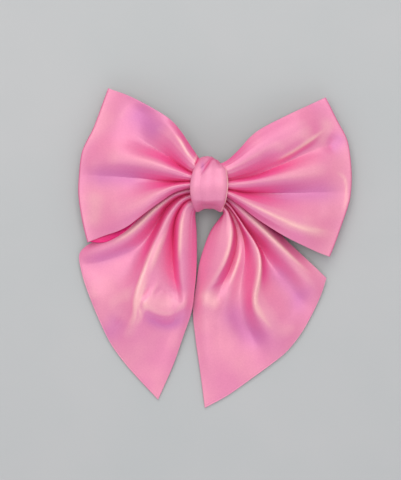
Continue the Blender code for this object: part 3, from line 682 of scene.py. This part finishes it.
def makeKnot():
    # A closed band: the middle line is carried across from its left to its right edge, and
    # moved outwards by the crown and the pleats
    rows, cols = 230, 100  # round the band, and across it
    p = np.array(knot["path"], float)
    p = np.concatenate([p[-2:], p, p[:3]])
    fine = smoothPath(p, 1200)
    run = lengthAlong(fine)
    near = np.linalg.norm(fine[:, :2] - p[2, :2], axis=1)
    start, stop = run[near[:600].argmin()], run[600 + near[600:].argmin()]
    at = np.linspace(start, stop, rows, endpoint=False)
    y, z, left, right = (np.interp(at, run, c)[:, None] for c in fine.T)
    v = np.linspace(-1, 1, cols)[None]
    tangent = np.stack([np.roll(c[:, 0], -1) - np.roll(c[:, 0], 1) for c in (y, z)], axis=1)
    tangent /= np.linalg.norm(tangent, axis=1, keepdims=True)
    ny, nz = tangent[:, 1:], -tangent[:, :1]
    if (ny * (y - y.mean()) + nz * (z - z.mean())).mean() < 0:
        ny, nz = -ny, -nz
    x = left + (right - left) * (v + 1) / 2
    top = np.clip((y - 8) / 6, 0, 1) ** 1.5
    bottom = np.clip((-y - 8) / 5, 0, 1)
    # crowned across where it faces up, with soft pleats along and rounded edges
    crown = knot["crown"] * (1 - v**2) * np.clip(nz, 0, 1) - 0.8 * np.abs(v) ** 9
    crown += knot["pleat"] * np.cos(v * 7.6 + 0.4) * np.clip(nz + 0.3, 0, 1)
    fall = np.where(v < 0, *knot["shoulders"]) * np.abs(v) ** 2.2
    yy = y + ny * crown - fall * top + knot["arch"] * (1 - np.abs(v) ** 2.2) * bottom
    zz = z + nz * crown
    plan = np.stack([x, yy], axis=2)
    face = np.clip((z - 16) / 4, 0, 1)  # creases only on the front
    creased, dip, fold = addCreases(knot, plan, np.zeros_like(yy))
    plan = plan + (creased - plan) * face[..., None]
    x, y = plan[..., 0], plan[..., 1]
    grid = np.stack([x, y + ny * dip * face, zz + nz * dip * face], axis=2)
    # painted shade in the knot's creases, from their fold mask
    fold = (fold * face)[::-1]
    # painted lilac sheen, faint cream all over, and a painted highlight on the right edge
    sx, sy, sw, sh = knot["sheen"]
    paintedShadeAndHighlight = 0.9 * np.exp(-((x - sx) / sw) ** 2 - ((y - sy) / sh) ** 2) * face
    paintedShadeAndHighlight = paintedShadeAndHighlight - 0.08 - 0.8 * (v > knot["rim"])
    return closedSheet("knot_cloth", grid[::-1], knot["wall"], fold * 2.6, fold * 0.6,
                       paintedShadeAndHighlight[::-1], ring=True, steep=0.45)


spring = {
    "pin": (17.0, 5.2),  # x and z of the pin it sits round
    "radius": 1.65,  # of the coil, to the middle of the wire
    "wire": 0.3,  # half the wire's thickness
    "turns": 4,
    "pitch": 0.78,  # mm from turn to turn
    "legEnd": 27.0,  # x of the ends of both legs
    "upperRest": 8.2,  # z where the upper leg ends, and below where the lower one does
    "lowerRest": 1.1,
}


def makeSpring():
    # A helix round the pin with a straight leg at each end, one under the jaw and one on the
    # lever; the wire is a circle carried along it, square to the way it runs
    (px, pz), r, wire = spring["pin"], spring["radius"], spring["wire"]
    a = math.pi / 2 - np.linspace(0, spring["turns"] * 2 * math.pi + math.pi, 190)
    y = ((math.pi / 2 - a) / (2 * math.pi) - spring["turns"] / 2 - 0.25) * spring["pitch"]
    coil = np.stack([px + r * np.cos(a), y, pz + r * np.sin(a)], axis=1)
    leg = np.linspace(0, 1, 9)[:-1, None]
    upper = np.array([spring["legEnd"], y[0], spring["upperRest"]])
    lower = np.array([spring["legEnd"], y[-1], spring["lowerRest"]])
    path = np.concatenate([upper * (1 - leg) + coil[0] * leg, coil,
                           (lower * (1 - leg) + coil[-1] * leg)[::-1]])
    run = np.gradient(path, axis=0)
    run /= np.linalg.norm(run, axis=1, keepdims=True)
    side = np.cross(run, (0, 1, 0))
    side /= np.linalg.norm(side, axis=1, keepdims=True)
    up = np.cross(side, run)
    turn = np.linspace(0, 2 * math.pi, 12, endpoint=False)[None, :, None]
    ring = path[:, None] + wire * (np.cos(turn) * side[:, None] + np.sin(turn) * up[:, None])
    count, around = ring.shape[:2]
    index = np.arange(count * around).reshape(count, around)
    after = np.roll(index, -1, axis=1)
    quads = np.stack([index[:-1], index[1:], after[1:], after[:-1]], axis=2).reshape(-1, 4)
    tips = [index[0].tolist(), index[-1, ::-1].tolist()]
    made = meshFrom("clip_spring_wire", ring.reshape(-1, 3), quads.tolist() + tips)
    return made, y[0] * mm, y[-1] * mm


def plug(tree, socket, value):
    # A link from another socket, or a plain value; a colour gets its fourth number here
    if isinstance(value, bpy.types.NodeSocket):
        tree.links.new(value, socket)
    else:
        socket.default_value = (*value, 1) if socket.type == "RGBA" else value


def add(tree, kind, **settings):
    # A node, with each setting on its socket of that name or else on the node itself
    node = tree.nodes.new("ShaderNode" + kind)
    for key, value in settings.items():
        if key in node.inputs:
            plug(tree, node.inputs[key], value)
        else:
            setattr(node, key, value)
    return node


def newMaterial(name):
    # An empty material and its node tree
    made = bpy.data.materials.new(name)
    made.use_nodes = True
    return made, made.node_tree


def shade(made, sockets):
    # Each named socket of the material's shader, linked or set
    shader = made.node_tree.nodes["Principled BSDF"]
    for name, value in sockets.items():
        plug(made.node_tree, shader.inputs[name], value)
    return made


def mixColour(tree, factor, a, b, mode="MIX"):
    # a at factor 0, b at factor 1
    node = add(tree, "Mix", data_type="RGBA", blend_type=mode)
    for index, value in ((0, factor), (6, a), (7, b)):
        plug(tree, node.inputs[index], value)
    return node.outputs[2]


def combine(tree, operation, *values):
    # The sum, product or larger one of two or three values
    node = add(tree, "Math", operation=operation)
    for socket, value in zip(node.inputs, values):
        plug(tree, socket, value)
    return node.outputs[0]


def ramp(tree, source, start, stop, most=1.0, least=0.0):
    # least at start, changing evenly to most at stop
    node = add(tree, "MapRange", Value=source, **{
        "From Min": start, "From Max": stop, "To Min": least, "To Max": most})
    return node.outputs["Result"]


def objectPlace(tree):
    # Place on the object itself, in m
    return add(tree, "TexCoord").outputs["Object"]


def objectNoise(tree, scale, stretch=(1, 1, 1), detail=3.0):
    # Cloudy noise, scale lumps to the metre, drawn out along an axis whose stretch is under 1
    place = add(tree, "Mapping", Vector=objectPlace(tree), Scale=stretch).outputs["Vector"]
    return add(tree, "TexNoise", Vector=place, Scale=scale, Detail=detail,
               Roughness=0.6).outputs["Fac"]


def objectWave(tree, way, pitch):
    # Even bands, pitch mm apart along one axis of the object
    return add(tree, "TexWave", Vector=objectPlace(tree), bands_direction=way,
               Scale=math.pi / 10 / pitch * 1000).outputs["Fac"]


def bumpOf(tree, height, depth, strength=0.6):
    # Relief up to depth mm high
    return add(tree, "Bump", Height=height, Strength=strength,
               Distance=depth * mm).outputs["Normal"]


pearl = {
    "flat": (0.82, 0.285, 0.44),  # pink where the cloth lies flat
    "strong": (0.90, 0.13, 0.35),  # painted shade: stronger pink where it leans
    "deep": (0.76, 0.003, 0.18),  # painted shade in the hollows, creases and on the steepest cloth
    # painted shade on cloth leaning from +Y, in hollows and patches; also the random shimmer
    "lilac": (0.60, 0.175, 0.43),
    # painted highlight on crests and bright lines; also the random shimmer and thread fibre
    "cream": (0.97, 0.60, 0.55),
    "shimmer": 0.14,  # how much of the wandering lilac and cream shows
    "cloud": 45.0,  # patches of it to the metre
    "grain": 0.5,  # how much of the speckle shows
    "speckle": (0.86, 0.76, 0.82),
    "speckles": 1100.0,  # specks to the metre
    "threadPitch": 0.45,  # mm between threads
    "threadDepth": 0.04,
    "metallic": 0.12,
    "foil": 0.3,  # metallic in the hollows
}
pearlGloss = {
    "Roughness": 0.40, "Specular IOR Level": 0.35, "Specular Tint": (1.0, 0.93, 0.88),
    "Coat Weight": 0.18, "Coat Roughness": 0.20, "Coat Tint": (1.0, 0.93, 0.95),
    "Sheen Weight": 0.04, "Sheen Roughness": 0.4, "Sheen Tint": (1.0, 0.72, 0.95),
}


def pearlCloth():
    # Pink with painted shade that deepens with the cloth's tilt and in its hollows, with lilac
    # shade and cream highlights painted over it one after another, each as strong as its own ramp
    # of one of the mesh's fields
    made, tree = newMaterial("pearlCloth")
    cloud = add(tree, "TexNoise", Vector=objectPlace(tree), Scale=pearl["cloud"], Detail=2.0,
                Roughness=0.45).outputs["Fac"]
    patch = ramp(tree, cloud, 0.36, 0.64)
    shimmer = mixColour(tree, patch, pearl["lilac"], pearl["cream"])
    body = mixColour(tree, pearl["shimmer"], pearl["flat"], shimmer)
    # tilt and lean say how steeply the cloth stands and how far it leans from the upper edge;
    # fold is its depth in mm below a wide patch round it and crease below a narrow patch. From
    # them come painted shade on steep, leaning and hollow cloth and painted highlights on crests
    tilt, lean, fold, crease, paintedShadeAndHighlight = (
        add(tree, "Attribute", attribute_name=name).outputs["Fac"]
        for name in ("tilt", "lean", "fold", "crease", "paintedShadeAndHighlight"))
    # each row: painted shade (strong, lilac, deep) or painted highlight (cream)
    for source, start, stop, most, colour in (
            (tilt, 0.03, 0.45, 1.0, "strong"), (lean, 0.08, 0.42, 0.22, "lilac"),
            (paintedShadeAndHighlight, 0, 1, 0.8, "lilac"),
            (fold, 0.2, 1.4, 0.25, "lilac"), (fold, 0.8, 2.8, 1.0, "deep"),
            (crease, 0.12, 0.7, 1.0, "deep"), (tilt, 0.45, 0.85, 0.8, "deep"),
            (paintedShadeAndHighlight, 0, -1, 0.85, "cream"),
            (crease, -0.06, -0.45, 0.75, "cream")):
        body = mixColour(tree, ramp(tree, source, start, stop, most), body, pearl[colour])
    depth = combine(tree, "MAXIMUM", ramp(tree, fold, 0.8, 2.8, pearl["foil"]),
                    ramp(tree, crease, 0.12, 0.7, pearl["foil"]))
    # fine speckle of the foil, a little darker and lighter from thread to thread
    grain = add(tree, "TexNoise", Vector=objectPlace(tree), Scale=pearl["speckles"], Detail=3.0,
                Roughness=0.7).outputs["Fac"]
    speckle = ramp(tree, grain, 0.3, 0.7, pearl["grain"])
    # woven dots: the product of two fine waves across each other, on the cloth's own map in cm
    uv = add(tree, "UVMap", uv_map="cloth").outputs["UV"]
    dots = [add(tree, "TexWave", Vector=uv, bands_direction=way,
                Scale=10 / pearl["threadPitch"] / 2).outputs["Fac"] for way in ("X", "Y")]
    weaving = combine(tree, "MULTIPLY", *dots)
    return shade(made, {
        "Base Color": mixColour(tree, speckle, body, pearl["speckle"], "MULTIPLY"),
        "Metallic": combine(tree, "MAXIMUM", depth, pearl["metallic"]),
        "Normal": bumpOf(tree, weaving, pearl["threadDepth"], 0.2), **pearlGloss})


clipFinish = {
    "nickel": (0.66, 0.655, 0.64),
    "nickelRoughness": 0.24,
    "worn": (0.42, 0.41, 0.40),  # scuffs along the edges
    "spring": (0.40, 0.405, 0.42),
    "springRoughness": 0.30,
    "rubber": (0.86, 0.87, 0.88),
    "rubberHaze": (0.62, 0.60, 0.60),
    "ribbon": (0.93, 0.20, 0.42),
    # painted shade between the ribs
    "ribbonShade": (0.66, 0.06, 0.22),
    "ribPitch": 0.9,  # mm from rib to rib
    "glue": (0.95, 0.90, 0.80),
    "glueShade": (0.80, 0.70, 0.55),
    "bubble": (1.0, 0.98, 0.94),
    "thread": (0.90, 0.24, 0.45),
    # painted shade between the turns
    "threadShade": (0.50, 0.05, 0.18),
}


def brushedMetal(name, colour, roughness, way):
    # Long scratches along one axis, blotches in the plating, and a wandering gloss
    made, tree = newMaterial(name)
    scratch = objectNoise(tree, 900.0, way, 4.0)
    wear = ramp(tree, objectNoise(tree, 160.0), 0.5, 0.8, 0.3)
    body = mixColour(tree, wear, colour, clipFinish["worn"])
    scuff = ramp(tree, scratch, 0.35, 0.7, 0.35)
    return shade(made, {
        "Base Color": mixColour(tree, scuff, body, clipFinish["worn"]),
        "Roughness": ramp(tree, scratch, 0.3, 0.75, roughness + 0.22, roughness),
        "Metallic": 1.0, "Normal": bumpOf(tree, scratch, 0.02)})


def ribbedRibbon():
    # Grosgrain: ribs across the ribbon, each crossed by fine warp threads, with painted shade
    # where the relief is low
    made, tree = newMaterial("grosgrainRibbon")
    rib = objectWave(tree, "X", clipFinish["ribPitch"])
    warp = objectWave(tree, "Y", clipFinish["ribPitch"] * 0.45)
    both = combine(tree, "MULTIPLY_ADD", warp, 0.3, rib)
    # painted shade: darker where the ribs' relief is low
    body = mixColour(tree, ramp(tree, both, 0.1, 0.8), clipFinish["ribbonShade"],
                     clipFinish["ribbon"])
    fade = ramp(tree, objectNoise(tree, 120.0), 0.4, 0.8, 0.25)
    return shade(made, {
        "Base Color": mixColour(tree, fade, body, pearl["flat"]),
        "Roughness": 0.62, "Sheen Weight": 0.2, "Normal": bumpOf(tree, both, 0.12, 0.8)})


def grainyRubber():
    # Fine pores in the relief and the gloss, under a cloudy haze
    made, tree = newMaterial("gripRubber")
    pore = objectNoise(tree, 1500.0, detail=5.0)
    haze = ramp(tree, objectNoise(tree, 220.0), 0.4, 0.75, 0.4)
    return shade(made, {
        "Base Color": mixColour(tree, haze, clipFinish["rubber"], clipFinish["rubberHaze"]),
        "Roughness": ramp(tree, pore, 0.3, 0.7, 0.7, 0.45), "Normal": bumpOf(tree, pore, 0.05)})


def hotGlue():
    # Cloudy set glue with a few small bubbles
    made, tree = newMaterial("hotGlue")
    cloud = objectNoise(tree, 260.0)
    bubble = add(tree, "TexVoronoi", Vector=objectPlace(tree), Scale=520.0).outputs["Distance"]
    body = mixColour(tree, ramp(tree, cloud, 0.35, 0.7, 0.6), clipFinish["glue"],
                     clipFinish["glueShade"])
    spot = ramp(tree, bubble, 0.32, 0.12, 0.5)
    return shade(made, {
        "Base Color": mixColour(tree, spot, body, clipFinish["bubble"]),
        "Roughness": 0.22, "Transmission Weight": 0.25, "Subsurface Weight": 0.3,
        "Subsurface Radius": (0.003, 0.002, 0.0015), "Normal": bumpOf(tree, cloud, 0.15)})


def twistedThread():
    # Plied thread: slanting bands along the turns, with painted shade where their relief is low
    # and loose fibre between them
    made, tree = newMaterial("bindingThread")
    turn = add(tree, "TexWave", Vector=objectPlace(tree), bands_direction="DIAGONAL",
               Scale=620.0, Distortion=1.5).outputs["Fac"]
    fibre = ramp(tree, objectNoise(tree, 2600.0, detail=4.0), 0.5, 0.8, 0.4)
    # painted shade: darker where the turns' relief is low
    body = mixColour(tree, turn, clipFinish["threadShade"], clipFinish["thread"])
    return shade(made, {
        "Base Color": mixColour(tree, fibre, body, pearl["cream"]),
        "Roughness": 0.6, "Sheen Weight": 0.15, "Normal": bumpOf(tree, turn, 0.08)})


def finish(obj, material, replaced):
    # A cloth piece of the bow: its material, the body it rides on, and the node it stands for
    obj.data.materials.append(material)
    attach(obj, "bow")
    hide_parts(replaced)
    return obj


cloth = pearlCloth()
pieces = [  # each with the node it stands for and its flat size in m
    (makeLoop("left_loop_cloth", loopLeft), "loop_left", (0.084, 0.140)),
    (makeLoop("right_loop_cloth", loopRight), "loop_right", (0.084, 0.140)),
    (makeTail("left_tail_cloth", tailLeft), "tail_left", (0.070, 0.110)),
    (makeTail("right_tail_cloth", tailRight), "tail_right", (0.070, 0.110)),
]
for obj, node, flat in pieces:
    finish(obj, cloth, node)
wrap = finish(makeKnot(), cloth, "knot_wrap")
print("cloth made")

nickel = brushedMetal("nickelPlate", clipFinish["nickel"], clipFinish["nickelRoughness"],
                      (0.05, 1, 1))
springSteel = brushedMetal("springSteel", clipFinish["spring"], clipFinish["springRoughness"],
                           (1, 0.05, 1))
glue, thread = hotGlue(), twistedThread()
nodeFinish = {
    "clip_top_jaw": nickel, "clip_lever": nickel, "clip_pin": nickel,
    "clip_ribbon": ribbedRibbon(), "clip_grip_pad": grainyRubber(),
    "glue_bow_to_clip": glue, "glue_loops_to_tails": glue, "glue_wrap_to_clip": glue,
    "loop_binding_thread": thread, "tail_binding_thread": thread,
}
for name, made in nodeFinish.items():
    for holder in bpy.data.objects[name].material_slots:
        holder.material = made
wire, springStart, springEnd = makeSpring()
wire.data.materials.append(springSteel)
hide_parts("clip_spring")
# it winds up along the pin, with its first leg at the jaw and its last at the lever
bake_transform(wire)
print("clip, glue and thread finished")


studio = {
    "card": (0.45, 0.49, 0.475), "cardCloud": (0.475, 0.505, 0.49),
    "floor": -0.0002,  # its height in m, just under the bow
    "air": (0.98, 0.90, 1.0), "airLight": 0.52,
    "aim": (0, -0.03, 0.01),  # every light points here
    "lights": [  # name, place in m, size in m, watts, colour
        ("windowLight", (-0.12, 0.80, 0.95), (0.9, 0.6), 4.6, (1.0, 0.985, 0.96)),
        ("ceilingLight", (-0.05, 0.12, 1.25), (1.1, 0.7), 6.5, (1.0, 0.99, 0.98)),
        ("roomLight", (0.1, -0.95, 0.7), (1.0, 0.7), 1.8, (1.0, 0.9, 0.96)),
    ],
}


def paleCard():
    # Smooth card with a faint cloudiness and a fine tooth
    made, tree = newMaterial("paleCard")
    cloud = ramp(tree, objectNoise(tree, 9.0), 0.35, 0.65)
    return shade(made, {
        "Base Color": mixColour(tree, cloud, studio["card"], studio["cardCloud"]),
        "Roughness": 0.6, "Normal": bumpOf(tree, objectNoise(tree, 700.0), 0.03, 0.3)})


def softLight(name, place, size, power, colour):
    # A rectangle of light, turned so that it faces the aim
    data = bpy.data.lights.new(name, "AREA")
    data.shape, data.size, data.size_y = "RECTANGLE", *size
    data.energy, data.color = power, colour
    lamp = put(name, data)
    lamp.location = place
    aim = np.array(studio["aim"]) - np.array(place)
    lamp.rotation_euler = Vector(aim).to_track_quat("-Z", "Y").to_euler()


bpy.ops.mesh.primitive_plane_add(size=4, location=(0, 0, studio["floor"]))
floor = bpy.context.object
floor.name = "floor"
floor.data.materials.append(paleCard())

world = bpy.data.worlds.new("studio")
bpy.context.scene.world = world
world.use_nodes = True
air = world.node_tree.nodes["Background"].inputs
air["Color"].default_value = (*studio["air"], 1)
air["Strength"].default_value = studio["airLight"]
for light in studio["lights"]:
    softLight(*light)
bpy.context.scene.view_settings.view_transform = "Standard"

# in m: the point it looks straight down at, the height of its view there, and its distance
# above the level of the bow's front
view = {"centre": (-0.0053, -0.030), "height": 0.2664, "distance": 0.80, "level": 0.010}
camera = bpy.data.cameras.new("camera")
camera.sensor_fit = "VERTICAL"
camera.sensor_height = 24
camera.lens = camera.sensor_height * view["distance"] / view["height"]
bpy.context.scene.camera = put("camera", camera)
bpy.context.scene.camera.location = (*view["centre"], view["distance"] + view["level"])

print("scene ready")
